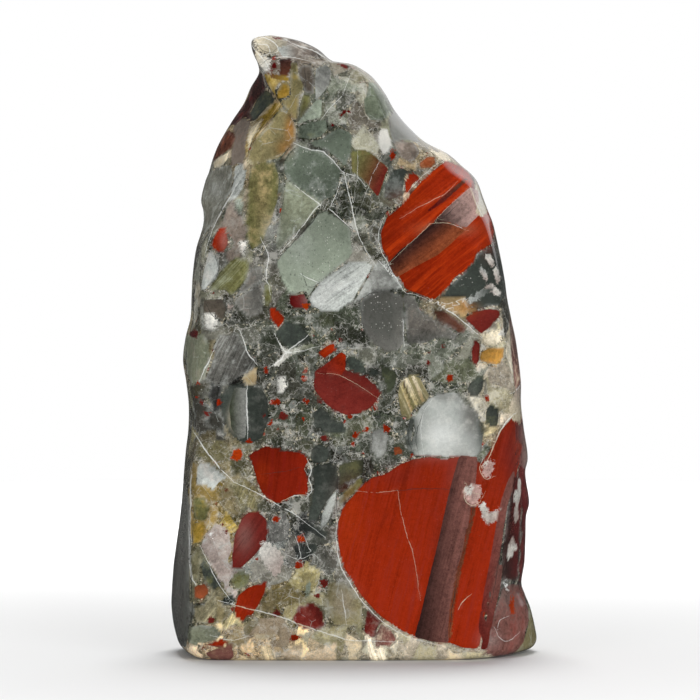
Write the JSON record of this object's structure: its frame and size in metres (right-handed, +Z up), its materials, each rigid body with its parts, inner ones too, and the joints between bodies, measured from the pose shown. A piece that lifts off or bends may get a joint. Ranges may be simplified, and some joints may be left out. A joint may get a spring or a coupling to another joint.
{
  "type": "bloodstone freeform",
  "caption": "Upright polished block of brecciated red, green and grey jasper with a flat cut base, for display or as a natural rock element.",
  "frame": {"origin": "middle of the block's plan, on the cut base that it stands on", "axes": "+Z up from the base to the tip, +Y towards the back, so the polished front faces -Y, and +X to the right seen from the front"},
  "size_m": [0.0732, 0.043, 0.1234],
  "materials": {
    "polished_stone": "hand polished, glossy"
  },
  "bodies": {
    "root": {"stone": "polished_stone"}
  },
  "joints": []
}
